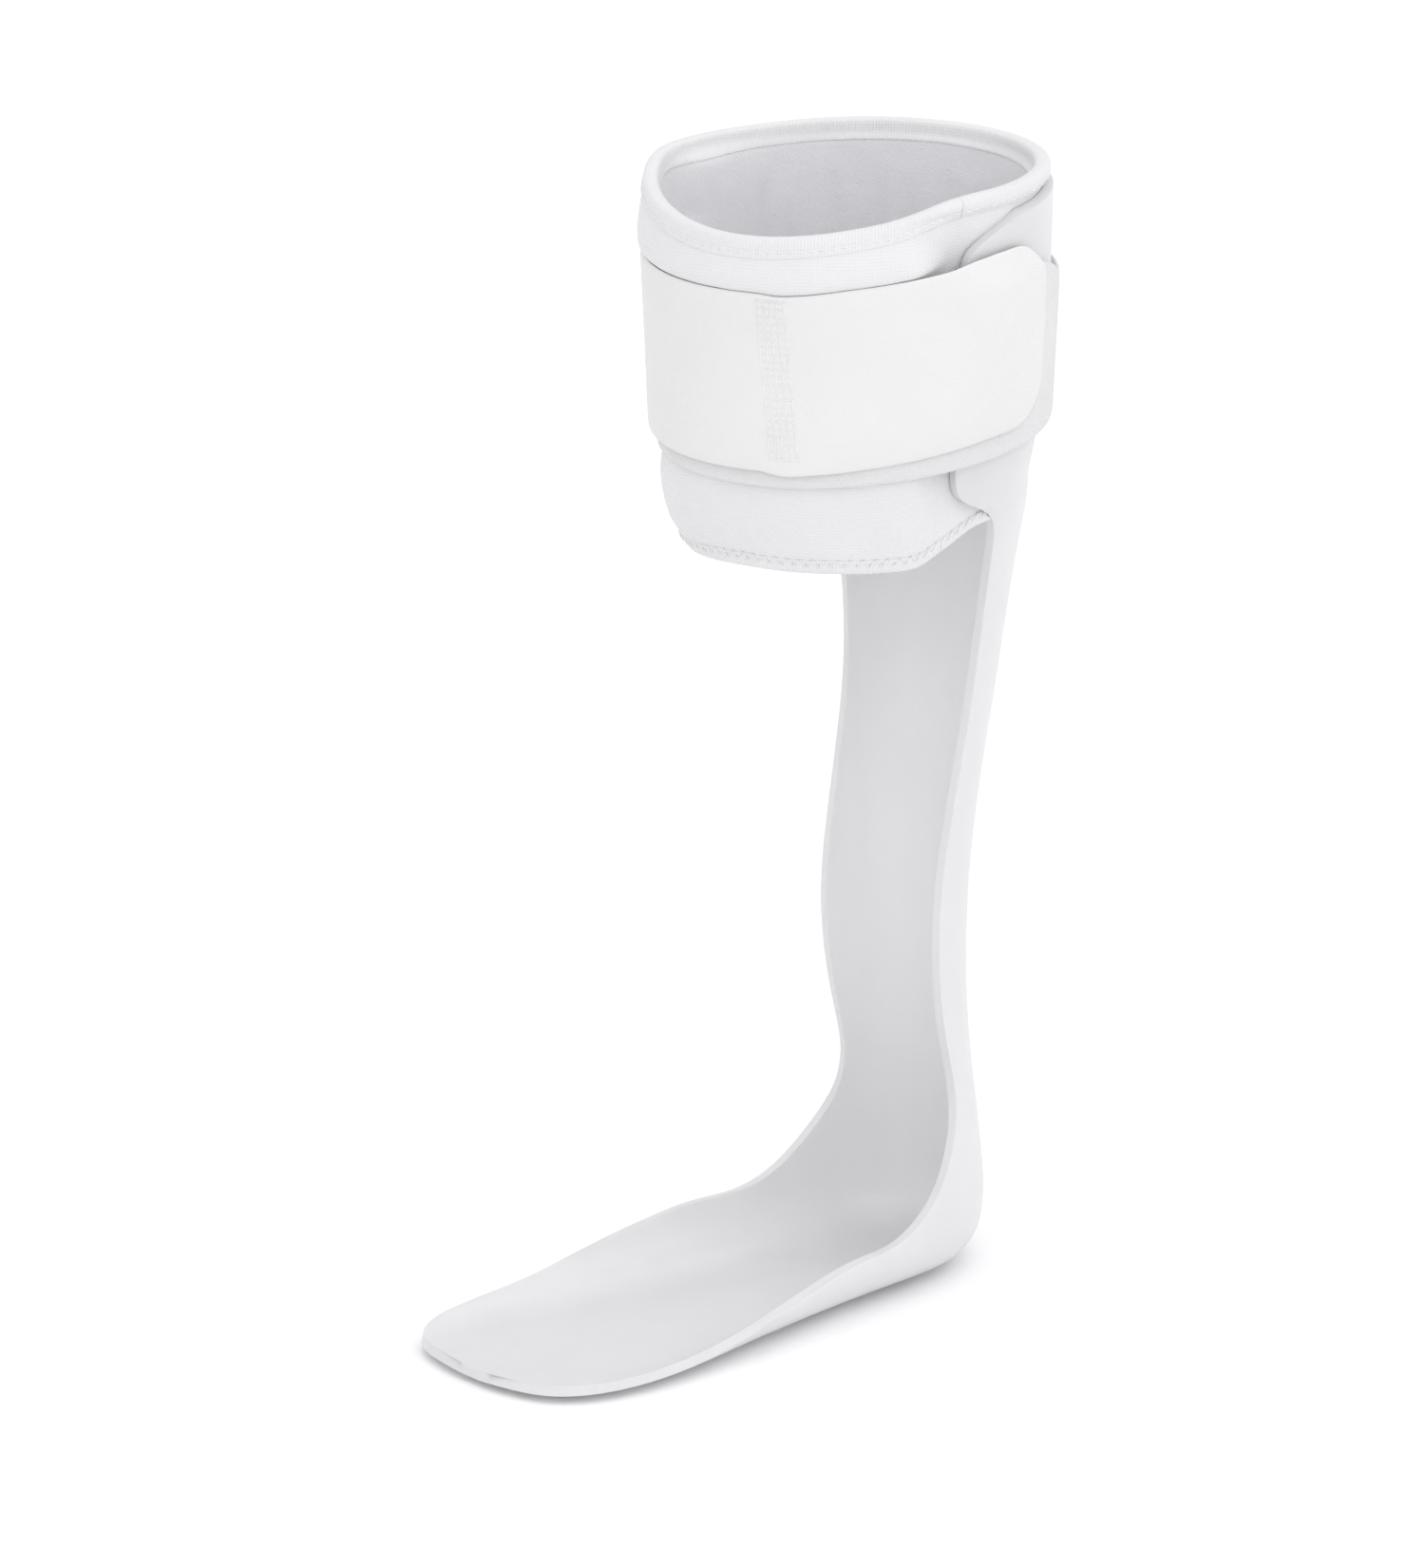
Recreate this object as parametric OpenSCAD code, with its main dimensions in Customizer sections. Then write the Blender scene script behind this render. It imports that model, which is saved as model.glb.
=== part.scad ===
// Left ankle foot orthosis: a one-piece plastic leaf-spring shell with a padded calf wrap and a hook strap.
// Millimetres. +Z is up, the toes point along -Y and the wearer's outer side is +X.
// The origin is on the ground plane, straight below the middle of the calf opening's axis at the ankle.

/* [Shell] */
// Wall thickness of the plastic shell
wall = 2.6; // [2:0.1:3.2]
// Outer radius of the calf band, at half its height
band_r = 51.6; // [50.8:0.1:51.9]
// Half the angle that the calf band wraps, from the middle of the back
band_wrap = 97; // [90:1:98]

/* [Calf wrap] */
// Height of the wrap's top edge at the sides and the back
rim_z = 312.6; // [311:0.1:316]
// How much lower the top edge dips over the shin
rim_dip = 8.6; // [6:0.2:10]
// Thickness of a cover or lining cloth
cloth = 0.5; // [0.4:0.1:0.6]
// Depth of the binding tape on each side of an edge
binding_depth = 4.5; // [4:0.5:8]

/* [Strap] */
// Width of the strap webbing
strap_w = 50; // [44:1:52]
// Thickness of the strap that closes the wrap
strap_t = 1.3; // [1:0.1:1.4]
// Thickness of the pile band that lies under it
band_t = 2.1; // [1.8:0.1:2.2]
// Angle at which the tab ends, measured from the outer side towards the back
tab_end = 24; // [12:1:26]
// Corner radius of the tab
tab_corner = 13; // [5:1:14]

/* [Hidden] */

axis_y = 8;          // the calf opening's axis, behind the origin
seam = -63;          // angle of the strap's lap seam
gap = 0.15;          // between layers that lie on each other
free_gap = 0.3;      // between layers that come apart
step = 6;            // degrees between sections of the wrap
oval = [0.96, 1.04]; // the calf opening is a little deeper than it is wide
flare = [[226, -5], [233, -3.9], [244, -2], [262, -0.4], [282, 0.4], [304, 1]]; // band radius by height

// ---- Shared helpers -------------------------------------------------------------------------

function spow(v, k) = sign(v) * pow(abs(v), k);
function reversed(v) = [for (k = [len(v) - 1:-1:0]) v[k]];
function clamp01(v) = min(1, max(0, v));
function smooth(v) = let (k = clamp01(v)) k * k * (3 - 2 * k);
function catmull(a, b, c, d, t) =
    0.5 * (2 * b + (c - a) * t + (2 * a - 5 * b + 4 * c - d) * t * t + (3 * b - a - 3 * c + d) * t * t * t);

// A closed solid from rings of points. Each ring is one closed section: an outer line, then an
// inner line with as many points back to its start, so the ends close as a strip of triangles.
// Every face is split along the diagonal that rises, so layers that lie on each other stay parallel.
function cap(n, first) = [for (k = [0:n / 2 - 2]) each [
    [first + k, first + n - 1 - k, first + k + 1],
    [first + k + 1, first + n - 1 - k, first + n - 2 - k]]];
function flip(faces) = [for (f = faces) [f[2], f[1], f[0]]];
module skin(rings) {
    n = len(rings[0]);
    last = len(rings) - 1;
    polyhedron(
        points = [for (r = rings) each r],
        faces = concat(
            cap(n, 0),
            [for (i = [0:last - 1]) for (k = [0:n - 1])
                let (
                    a = i * n + k,
                    b = i * n + (k + 1) % n,
                    rises = rings[i][(k + 1) % n][2] >= rings[i][k][2]
                )
                each rises ? [[a, b, b + n], [a, b + n, a + n]] : [[a, b, a + n], [b, b + n, a + n]]],
            flip(cap(n, last * n))));
}

// ---- Plastic shell --------------------------------------------------------------------------
// Each station is a section square to the spine line that runs from the toe end, round the heel
// and up the back: [y, z of the spine; turn of the section's depth direction, 0 forward, 90 up;
// half width at the outer and the inner edge; depth of the outer and the inner edge; wrap; squareness].

function calf_station(z, turn, wrap) =
    let (
        r = lookup(z, flare) + band_r,
        half = oval[0] * r * sin(wrap),
        depth = oval[1] * r * (1 - cos(wrap))
    )
    [axis_y + oval[1] * r, z, turn, half, half, depth, depth, wrap, 1];

stations = [
    [-128, 1.6, 90,  5,  8, 0.3, 0.3, 60, 0.8],
    [-126, 1.4, 90, 17, 22, 0.6, 0.6, 60, 0.8],
    [-121, 1.0, 90, 26, 31, 1.0, 1.2, 60, 0.8],
    [-110, 0.5, 90, 33, 37, 1.8, 2.5, 60, 0.75],
    [ -92,   0, 90, 36, 38, 2.8, 5.0, 60, 0.5],
    [ -70,   0, 86, 36, 36, 5.0, 9.5, 62, 0.46],
    [ -48,   0, 74, 36, 35, 10.7, 14, 66, 0.46],
    [ -26,   0, 57, 34.5, 33.5, 16.5, 19, 68, 0.48],
    [  -5,   0, 42, 33.5, 33, 24, 26, 70, 0.52],
    [  14,   0, 32, 33, 32, 32, 33, 74, 0.58],
    [  30, 0.2, 27, 32, 32, 38.5, 38.5, 78, 0.66],
    [  41, 3.6, 24, 31, 31, 41, 41, 82, 0.76],
    [46.6,  10, 22, 30, 30, 39, 39, 84, 0.87],
    [48.6,  19, 20, 28.5, 28.5, 34, 34, 84, 0.95],
    [48.2,  31, 14, 26.3, 26.3, 27.5, 27.5, 82, 1],
    [46.8,  43,  4, 24.5, 24.5, 22, 22, 78, 1],
    [45.4,  55,  0, 23, 23, 20, 20, 76, 1],
    [44.0,  68,  0, 23, 23, 22, 22, 80, 1],
    [43.0,  84,  0, 23.5, 23.5, 24, 24, 82, 1],
    [43.0, 101,  0, 24, 24, 25, 25, 84, 1],
    [44.2, 119,  0, 24, 24, 24.5, 24.5, 84, 1],
    [47.4, 141,  0, 24.5, 24.5, 23.5, 23.5, 82, 1],
    [52.0, 164,  0, 25.5, 25.5, 24, 24, 80, 1],
    [55.5, 187,  0, 28, 28, 26, 26, 78, 1],
    [58.2, 206,  0, 31.5, 31.5, 29, 29, 78, 1],
    [59.3, 218,  0, 36, 36, 33, 33, 80, 1],
    calf_station(226, 0, 85),
    calf_station(230.5, 0, band_wrap - 1),
    calf_station(244, -1, band_wrap),
    calf_station(262, -2, band_wrap),
    calf_station(282, -3, band_wrap),
    calf_station(298, -3, band_wrap),
    calf_station(302.5, -3, band_wrap - 4),
    calf_station(306, -3, band_wrap - 14),
    calf_station(307.5, -3, band_wrap - 23)
];
sub = 2;               // rows per station
half_cols = 11;        // columns on each side of the spine
foot_end = 16;         // station where the foot shell meets the leaf
leaf_end = 20;         // station where the leaf meets the calf shell
sole_flat = 0.3;       // the sole is flat where it would rise less than this

function station(k) = stations[min(len(stations) - 1, max(0, k))];
function row_values(row) =
    let (k = floor(row / sub), t = row / sub - k)
    catmull(station(k - 1), station(k), station(k + 1), station(k + 2), t);
function shell_point(v, col) =
    let (
        outer = col >= 0,
        tau = v[7] * col / half_cols,
        w = (outer ? v[3] : v[4]) / spow(sin(v[7]), v[8]),
        h = (outer ? v[5] : v[6]) / (1 - spow(cos(v[7]), v[8])),
        depth = h * (1 - spow(cos(tau), v[8])),
        z = v[1] + depth * sin(v[2])
    )
    [w * spow(sin(tau), v[8]), v[0] - depth * cos(v[2]), z < sole_flat ? 0 : z];

shell_rows = (len(stations) - 1) * sub;
outer_grid = [for (row = [0:shell_rows]) let (v = row_values(row))
    [for (col = [-half_cols:half_cols]) shell_point(v, col)]];
function unit(v) = v / norm(v);
function grid_normal(i, j) =
    let (
        up = outer_grid[min(shell_rows, i + 1)][j] - outer_grid[max(0, i - 1)][j],
        across = outer_grid[i][min(2 * half_cols, j + 1)] - outer_grid[i][max(0, j - 1)]
    )
    unit(cross(up, across));
inner_grid = [for (i = [0:shell_rows])
    [for (j = [0:2 * half_cols]) outer_grid[i][j] - wall * grid_normal(i, j)]];

module shell_part(first, last)
    color("white", 0.8)
    skin([for (i = [first * sub:last * sub]) concat(outer_grid[i], reversed(inner_grid[i]))]);

module foot_shell() shell_part(0, foot_end);
module leaf_spring() shell_part(foot_end, leaf_end);
module calf_shell() difference() {
    shell_part(leaf_end, len(stations) - 1);
    rivet_holes();
}

// ---- Rivets through the band and the shell, in the middle of the back -------------------------

rivet_z = 264;
rivet_turn = [-11, 11];  // degrees to each side of the back's middle
rivet_r = 2;
function pile_in(z) = band_r + 0.9 + (z - 282) * 0.0425;
function pile_out(z) = pile_in(z) + band_t;
shell_out = oval[1] * (band_r + lookup(rivet_z, flare)); // shell's outside at the rivets
band_out = oval[1] * pile_out(rivet_z);

// Children stand on the calf axis at each rivet, with +Z pointing out of the back.
module at_rivets()
    for (turn = rivet_turn) translate([0, axis_y, rivet_z]) rotate([-90, 0, turn]) children();
module rivet_holes() at_rivets() translate([0, 0, 40]) cylinder(r = rivet_r + 0.05, h = 40, $fn = 32);
module rivet_posts() color("silver") at_rivets() translate([0, 0, shell_out - wall - 1.5]) {
    cylinder(r = 4, h = 0.7, $fn = 40);
    cylinder(r = rivet_r, h = band_out - shell_out + wall + 2.2, $fn = 32);
}
module rivet_caps() color("silver") at_rivets() translate([0, 0, band_out + 0.15]) difference() {
    union() {
        cylinder(r = 4.5, h = 0.5, $fn = 40);
        translate([0, 0, 0.5]) cylinder(r1 = 4.5, r2 = 2.8, h = 1, $fn = 40);
    }
    translate([0, 0, -1]) cylinder(r = rivet_r + 0.05, h = 1.65, $fn = 32);
}

// ---- Wrapped layers ---------------------------------------------------------------------------
// Every layer is a closed section swept round the calf axis: `ring` gives it as [radius, height]
// pairs for an angle measured from the outer side towards the back.

function at(phi, p) = [oval[0] * p[0] * cos(phi), axis_y + oval[1] * p[0] * sin(phi), p[1]];
module wrapped(from, to, ring) {
    n = ceil(abs(to - from) / step);
    skin([for (k = [0:n]) let (phi = from + (to - from) * k / n) [for (p = ring(phi)) at(phi, p)]]);
}
function reach(phi) = oval[1] * band_r * sin(phi); // how far back an angle lies from the axis

// ---- Padded wrap ------------------------------------------------------------------------------

front_from = 216;
front_to = 351.8;
back_from = -7.4;
back_to = 206;

function from_back(phi) = abs(phi > 270 ? phi - 450 : phi - 90);
function pad_top(phi) =
    let (from_shin = min(75, abs(phi - (phi < 90 ? -76 : 284))))
    rim_z - rim_dip * pow(cos(1.2 * from_shin), 1.5);
function rim_roll(phi, s) =
    let (start = 0.93 - 0.07 * smooth((phi - 180) / 26))
    5 * smooth((phi - 165) / 41) * smooth((s - start) / 0.06);
function pad_bottom(phi) = 212.6 + 16.4 * smooth((100 - from_back(phi)) / 24);

heights = [0, 0.03, 0.08, 0.16, 0.3, 0.5, 0.7, 0.8, 0.86, 0.92, 0.97, 1];
front_outer = [[0, -4.4], [0.03, -3.8], [0.08, -3], [0.16, -1.6], [0.3, -0.2], [0.5, -0.2], [0.7, -0.2],
    [0.8, -0.2], [0.86, 1.4], [0.92, 1.9], [0.97, 1.5], [1, 0.6]];
front_inner = [[0, -7], [0.03, -7.7], [0.08, -8.2], [0.16, -7.8], [0.3, -6.6], [0.5, -6.2], [0.7, -6.2],
    [0.8, -5.8], [0.86, -4.8], [0.92, -3.6], [0.97, -2.6], [1, -2]];
back_outer = [[0, -7.9], [0.03, -7.5], [0.08, -7.1], [0.16, -6.2], [0.3, -5.1], [0.5, -4.6], [0.7, -4.7],
    [0.8, -4.9], [0.86, -4.9], [0.92, -4.4], [0.97, -4.4], [1, -4.8]];
back_inner = [[0, -10.4], [0.03, -10.8], [0.08, -10.6], [0.16, -9.8], [0.3, -9], [0.5, -8.6], [0.7, -8.6],
    [0.8, -8.6], [0.86, -8.4], [0.92, -7.8], [0.97, -7.2], [1, -6.7]];

function pad_z(phi, s) = pad_bottom(phi) + s * (pad_top(phi) - pad_bottom(phi));
function pad_line(phi, table, shift, list) = [for (s = list) let (z = pad_z(phi, s))
    [pile_in(z) + lookup(s, table) + shift + (phi < 210 ? rim_roll(phi, s) : 0), z]];

module pad_layer(from, to, outer, outer_in, inner, inner_out)
    wrapped(from, to, function(phi) concat(
        pad_line(phi, outer, -outer_in, heights),
        pad_line(phi, inner, inner_out, reversed(heights))));
module foam(from, to, outer, inner)
    color("whitesmoke") pad_layer(from, to, outer, cloth + gap, inner, cloth + gap);
module cover(from, to, outer)
    color("white") pad_layer(from, to, outer, 0, outer, -cloth);
module lining(from, to, inner)
    color("white") pad_layer(from, to, inner, -cloth, inner, 0);

// A binding folds over the edge `end` (1 top, 0 bottom) of all three layers.
module binding(from, to, outer, inner, end)
    color("white") wrapped(from, to, function(phi) let (
            dir = end == 1 ? 1 : -1,
            lift = 2.5 * gap,
            tall = pad_top(phi) - pad_bottom(phi),
            list = [for (d = [binding_depth, binding_depth / 2, 0]) end - dir * d / tall],
            z = pad_z(phi, end),
            roll = phi < 210 ? rim_roll(phi, end) : 0,
            r_out = pile_in(z) + lookup(end, outer) + roll,
            r_in = pile_in(z) + lookup(end, inner) + roll,
            mid = [for (k = [0.65, 0.35]) r_out * k + r_in * (1 - k)],
            sect = concat(
                pad_line(phi, outer, cloth + lift, list),
                [for (r = mid) [r, z + dir * (cloth + lift)]],
                pad_line(phi, inner, -cloth - lift, reversed(list)),
                pad_line(phi, inner, -lift, [list[0], list[1]]),
                [for (r = [r_in - lift, mid[1], mid[0], r_out + lift]) [r, z + dir * gap]],
                pad_line(phi, outer, lift, [list[1], list[0]])))
        dir == 1 ? sect : reversed(sect));

module back_foam() foam(back_from, back_to, back_outer, back_inner);
module back_lining() lining(back_from, back_to, back_inner);
module back_cover() cover(back_from, back_to, back_outer);
module back_top_binding() binding(back_from, back_to, back_outer, back_inner, 1);
module back_bottom_binding() binding(back_from, back_to, back_outer, back_inner, 0);
module front_foam() foam(front_from, front_to, front_outer, front_inner);
module front_lining() lining(front_from, front_to, front_inner);
module front_cover() cover(front_from, front_to, front_outer);
module front_top_binding() binding(front_from, front_to, front_outer, front_inner, 1);
module front_bottom_binding() binding(front_from, front_to, front_outer, front_inner, 0);

// Hook patches that hold the wrap inside the calf band, on both sides of the rivets.
module liner_hooks() color("gainsboro")
    for (mid = [55, 125]) wrapped(mid - 14, mid + 14, function(phi)
        let (list = [252, 271, 290])
        concat(
            [for (z = list) [band_r + lookup(z, flare) - wall - 0.15, z]],
            [for (z = reversed(list)) [band_r + lookup(z, flare) - wall - 1.05, z]]));

// ---- Straps -----------------------------------------------------------------------------------

strap_mid = 269.5;   // middle of the closing strap, at the calf axis
pile_drop = 5;       // how much lower the pile band lies
hook_t = 0.4;        // thickness of the hook tape under the tab
strap_in = free_gap + hook_t + 0.15; // from the pile to the strap

function strap_z(phi, side) = strap_mid + side * strap_w / 2 + 0.058 * reach(phi);
module strap(from, to, inside, thick, half, drop)
    wrapped(from, to, function(phi) let (
            low = strap_z(phi, 0) - drop - half(phi),
            top = strap_z(phi, 0) - drop + half(phi),
            list = [low, (2 * low + top) / 3, (low + 2 * top) / 3, top])
        concat(
            [for (z = list) [pile_in(z) + inside + thick, z]],
            [for (z = reversed(list)) [pile_in(z) + inside, z]]));
full = function(phi) strap_w / 2;
function tab_half(phi) =
    let (
        a = tab_corner / band_r * 180 / PI,
        k = clamp01((phi - tab_end - 360 + a) / a)
    )
    strap_w / 2 - tab_corner * (1 - sqrt(1 - k * k));

module pile_band() color("white") difference() {
    strap(-7, 206, 0, band_t, full, pile_drop);
    rivet_holes();
}
module front_pile() color("white") strap(front_from, front_to, 0, band_t, full, pile_drop);
module strap_root() color("white") strap(148, 206, band_t + 0.1, strap_t, full, 0);
module strap_front() color("white") strap(front_from, 360 + seam, band_t + strap_in, strap_t, full, 0);
module strap_tab() color("white")
    strap(360 + seam + 0.4, 360 + tab_end, band_t + strap_in, strap_t, function(phi) tab_half(phi), 0);
module tab_hooks() color("gainsboro")
    strap(360 + seam + 10, 360 + tab_end - 4, band_t + free_gap, hook_t, function(phi) tab_half(phi) - 3, 0);

foot_shell();
leaf_spring();
calf_shell();
rivet_posts();
rivet_caps();
liner_hooks();
back_foam();
back_lining();
back_cover();
back_top_binding();
back_bottom_binding();
front_foam();
front_lining();
front_cover();
front_top_binding();
front_bottom_binding();
pile_band();
front_pile();
strap_root();
strap_front();
strap_tab();
tab_hooks();
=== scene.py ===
import math

import bmesh
import bpy
import numpy as np
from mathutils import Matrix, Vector, noise
from mathutils.bvhtree import BVHTree


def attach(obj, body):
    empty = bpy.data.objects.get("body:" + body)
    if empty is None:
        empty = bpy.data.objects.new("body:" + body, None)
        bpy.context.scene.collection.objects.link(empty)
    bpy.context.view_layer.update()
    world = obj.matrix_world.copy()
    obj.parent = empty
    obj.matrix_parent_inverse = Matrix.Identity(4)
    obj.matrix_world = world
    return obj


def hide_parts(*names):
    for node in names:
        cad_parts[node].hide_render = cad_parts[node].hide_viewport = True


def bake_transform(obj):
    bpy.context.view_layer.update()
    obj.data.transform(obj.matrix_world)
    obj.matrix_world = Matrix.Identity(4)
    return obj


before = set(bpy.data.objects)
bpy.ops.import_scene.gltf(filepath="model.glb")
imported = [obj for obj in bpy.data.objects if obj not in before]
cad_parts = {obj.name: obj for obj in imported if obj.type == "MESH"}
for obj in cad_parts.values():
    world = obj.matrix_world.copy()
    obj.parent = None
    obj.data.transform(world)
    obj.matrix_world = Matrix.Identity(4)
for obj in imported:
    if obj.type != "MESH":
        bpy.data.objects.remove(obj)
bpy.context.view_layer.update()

# ---- Dimensions, as in the CAD ----------------------------------------------------------------
# Lengths are in millimetres. Angles are in degrees round the calf's axis, from +X towards +Y.

MM = 0.001  # in metres
PER_M = 1000
WALL = 2.6
BAND_R = 51.6  # outer face of the plastic calf band
WRAP = 97  # how far the calf band reaches to each side of its middle
AXIS_Y = 8.0
OVAL = (0.96, 1.04)  # the calf's section, as shares of a circle along X and Y
FLARE = ([226, 233, 244, 262, 282, 304], [-5, -3.9, -2, -0.4, 0.4, 1])
PILE_GAP = 0.9
CONE_Z, CONE = 282, 0.0425  # the wrapped bands widen upwards
BAND_T = 2.1
STRAP_T = 1.3
STRAP_W = 50.0
STRAP_IN = 0.85
TOP_IN = BAND_T + STRAP_IN
ROOT_IN = 0.35
STRAP_MID = 269.5
STRAP_SLOPE = 0.058
PILE_DROP = 5.0
SEAM = 297.0
SEAM_FROM, SEAM_TO = 291.5, 303.5
TAB_END = 384.0
TAB_CORNER = 13.0
RIM_Z = 312.6
RIM_DIP = 8.6
PAD_LOW = 212.6
HINGE_FROM, HINGE_TO = 203.0, 219.0
BACK_FROM = -7.4
FRONT_TO = 352.6


def smooth(v):
    """A soft step from 0 to 1."""
    k = np.clip(v, 0, 1)
    return k * k * (3 - 2 * k)


def pile_in(z):
    """The pile band's inner radius."""
    return BAND_R + PILE_GAP + (z - CONE_Z) * CONE


def at(phi, rho, z):
    """A point at an angle, radius and height round the calf axis, in millimetres."""
    a = np.radians(phi)
    x, y = OVAL[0] * rho * np.cos(a), AXIS_Y + OVAL[1] * rho * np.sin(a)
    return np.stack(np.broadcast_arrays(x, y, z), -1)


def reach(phi):
    """How far behind the calf's axis an angle lies, which sets the strap's slope."""
    return OVAL[1] * BAND_R * np.sin(np.radians(phi))


# ---- Mesh helpers -----------------------------------------------------------------------------

def mesh_object(name, points, faces, material, uvs=None):
    mesh = bpy.data.meshes.new(name)
    mesh.from_pydata([tuple(p) for p in np.asarray(points) * MM], [], faces)
    obj = bpy.data.objects.new(name, mesh)
    bpy.context.scene.collection.objects.link(obj)
    if uvs is not None:
        layer = mesh.uv_layers.new(name="UVMap")
        index = np.zeros(len(mesh.loops), int)
        mesh.loops.foreach_get("vertex_index", index)
        layer.data.foreach_set("uv", np.asarray(uvs, float)[index].ravel())
    for m in material if isinstance(material, list) else [material]:
        mesh.materials.append(m)
    mesh.polygons.foreach_set("use_smooth", [True] * len(mesh.polygons))
    mesh.update()
    return obj


def grid_faces(nu, nv, closed_v=False, caps=False):
    """The faces of a grid of points; `caps` closes its first end, its last end or both."""
    faces = []
    for i in range(nu - 1):
        for j in range(nv if closed_v else nv - 1):
            k = (j + 1) % nv
            faces.append((i * nv + j, (i + 1) * nv + j, (i + 1) * nv + k, i * nv + k))
    for base, turn, label in ((0, 1, "first"), ((nu - 1) * nv, -1, "last")):
        if caps in (True, label):
            for k in range(nv // 2 - 1):
                quad = (base + k, base + k + 1, base + nv - 2 - k, base + nv - 1 - k)
                faces.append(quad[::turn])
    return faces


def arc_uv(grid):
    """UV in metres: along the first index and along the second, measured on the grid itself."""
    g = np.asarray(grid, float) * MM
    du = np.zeros(g.shape[:2])
    du[1:] = np.cumsum(np.linalg.norm(np.diff(g, axis=0), axis=2), axis=0)
    dv = np.zeros(g.shape[:2])
    dv[:, 1:] = np.cumsum(np.linalg.norm(np.diff(g, axis=1), axis=2), axis=1)
    mid = g.shape[1] // 4
    u = np.repeat(du[:, mid : mid + 1], g.shape[1], axis=1)
    return np.stack([u, dv], -1).reshape(-1, 2)


def grid_object(name, grid, material, closed_v=False, caps=False):
    g = np.asarray(grid, float)
    nu, nv = g.shape[:2]
    return mesh_object(name, g.reshape(-1, 3), grid_faces(nu, nv, closed_v, caps), material, arc_uv(g))


def modify(obj, kind, **values):
    """Adds a modifier of a kind, with the values given."""
    m = obj.modifiers.new(kind.title(), kind)
    for key, value in values.items():
        setattr(m, key, value)
    return m


def bake(obj):
    """Applies every modifier of an object."""
    dg = bpy.context.evaluated_depsgraph_get()
    new = bpy.data.meshes.new_from_object(obj.evaluated_get(dg), depsgraph=dg)
    obj.modifiers.clear()
    old = obj.data
    obj.data = new
    bpy.data.meshes.remove(old)
    return obj


def recalc(obj):
    """Turns every face outwards."""
    bm = bmesh.new()
    bm.from_mesh(obj.data)
    bmesh.ops.recalc_face_normals(bm, faces=bm.faces)
    bm.to_mesh(obj.data)
    bm.free()


def soften(obj):
    """Subdivides an object once."""
    recalc(obj)
    modify(obj, "SUBSURF", levels=1, render_levels=1)
    bake(obj)


def ripple(p, scale, seed=0.0):
    """Smooth noise at a point; a higher scale gives shorter waves."""
    return noise.noise(Vector((p[0] * scale + seed, p[1] * scale - seed, p[2] * scale)))


# ---- Materials --------------------------------------------------------------------------------

class Nodes:
    """A small wrapper that makes and joins the nodes of one material."""

    def __init__(self, name):
        self.material = bpy.data.materials.new(name)
        self.material.use_nodes = True
        self.tree = self.material.node_tree
        self.tree.nodes.clear()
        self.out = self.tree.nodes.new("ShaderNodeOutputMaterial")
        self.shader = self.tree.nodes.new("ShaderNodeBsdfPrincipled")
        self.link(self.shader.outputs[0], self.out.inputs["Surface"])

    def link(self, a, b):
        self.tree.links.new(a, b)

    def node(self, kind, inputs=None, **props):
        n = self.tree.nodes.new(kind)
        for key, value in props.items():
            setattr(n, key, value)
        for key, value in (inputs or {}).items():
            if isinstance(value, bpy.types.NodeSocket):
                self.link(value, n.inputs[key])
            else:
                n.inputs[key].default_value = value
        return n

    def math(self, op, a, b=0.0):
        return self.node("ShaderNodeMath", {0: a, 1: b}, operation=op).outputs[0]

    def coords(self):
        return self.node("ShaderNodeTexCoord").outputs["Object"]

    def uv(self):
        both = self.node("ShaderNodeSeparateXYZ", {0: self.node("ShaderNodeTexCoord").outputs["UV"]})
        return both.outputs[0], both.outputs[1]

    def noise(self, scale, detail=3.0, rough=0.55, vector=None):
        return self.node("ShaderNodeTexNoise", {
            "Vector": vector or self.coords(), "Scale": scale, "Detail": detail, "Roughness": rough,
        }).outputs["Fac"]

    def ramp(self, fac, stops):
        r = self.node("ShaderNodeValToRGB", {"Fac": fac})
        elements = r.color_ramp.elements
        while len(elements) < len(stops):
            elements.new(0.5)
        for e, (pos, colour) in zip(elements, stops):
            e.position = pos
            e.color = (*colour, 1)
        return r.outputs["Color"]

    def mix(self, fac, a, b, blend="MIX"):
        m = self.node("ShaderNodeMix", {0: fac, 6: a, 7: b}, data_type="RGBA", blend_type=blend)
        return m.outputs[2]

    def spread(self, value, low, high, start=(0.0, 1.0)):
        """Maps a value in the start range to a range from low to high."""
        return self.node("ShaderNodeMapRange", {
            "Value": value, "From Min": start[0], "From Max": start[1], "To Min": low, "To Max": high,
        }).outputs[0]

    def bump(self, height, strength, distance):
        inputs = {"Height": height, "Strength": strength, "Distance": distance}
        return self.node("ShaderNodeBump", inputs).outputs[0]

    def set(self, **values):
        for key, value in values.items():
            socket = self.shader.inputs[key.replace("_", " ")]
            if isinstance(value, bpy.types.NodeSocket):
                self.link(value, socket)
            else:
                socket.default_value = value
        return self.material


def shade(c, k):
    return tuple(min(1.0, v * k) for v in c)


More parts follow.
